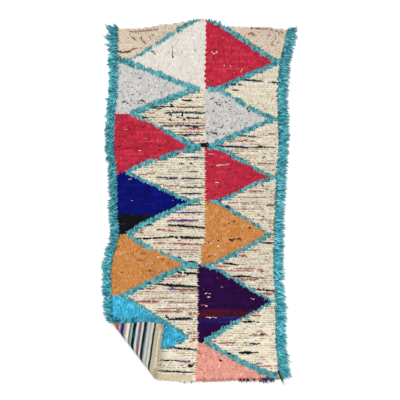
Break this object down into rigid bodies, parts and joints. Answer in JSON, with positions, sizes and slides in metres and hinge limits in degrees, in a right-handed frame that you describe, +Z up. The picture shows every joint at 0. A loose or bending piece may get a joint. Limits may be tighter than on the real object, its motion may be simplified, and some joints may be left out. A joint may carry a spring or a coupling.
{
  "type": "berber rug",
  "caption": "Shaggy wool rug with zigzag colour fields, teal pile edges and a near corner folded over onto the pile.",
  "frame": {"origin": "on the flat underside, at the middle of the rug's length and width", "axes": "+Y up the rug to its far end, +Z up from the floor through the pile, +X to the right seen from above"},
  "size_m": [0.9766, 1.8049, 0.034],
  "materials": {
    "pile": "matt knotted wool pile in cream with coloured fields",
    "shag": "matt long wool shag in teal",
    "warp": "matt ecru warp yarn"
  },
  "bodies": {
    "root": {"woven_field": "pile", "left_shag": "shag", "corner_shag": "shag", "right_shag": "shag", "near_end_band": "warp"}
  },
  "joints": []
}
